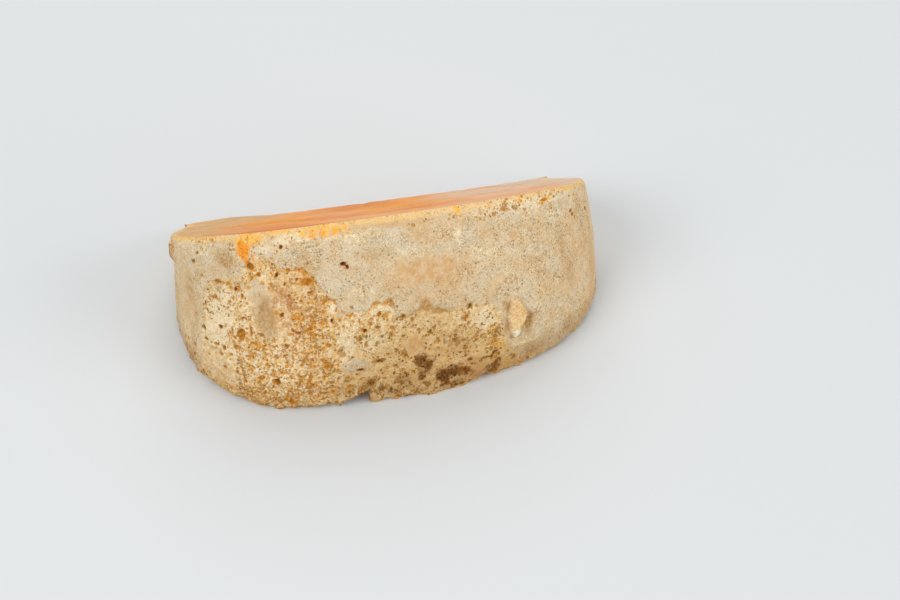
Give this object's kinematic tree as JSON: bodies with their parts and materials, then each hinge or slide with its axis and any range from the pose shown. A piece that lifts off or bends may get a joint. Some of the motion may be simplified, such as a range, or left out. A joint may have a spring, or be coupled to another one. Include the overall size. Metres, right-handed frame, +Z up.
{
  "type": "mimolette cheese wedge",
  "caption": "Wedge of a flattened ball of aged orange cheese, lying on one cut face, with a pitted, crumbling grey-beige rind.",
  "frame": {"origin": "middle of the bounding box's underside, in the plane of the cut face that the piece lies on", "axes": "+X along the ball's axis from pole to pole, -Y towards the rind, +Y towards the thin edge where the two cut faces meet, +Z up"},
  "size_m": [0.1437, 0.0997, 0.0599],
  "materials": {
    "cheese": "dry matt cheese: grey-beige pitted rind, orange cut faces"
  },
  "bodies": {
    "root": {"mimolette": "cheese"}
  },
  "joints": []
}
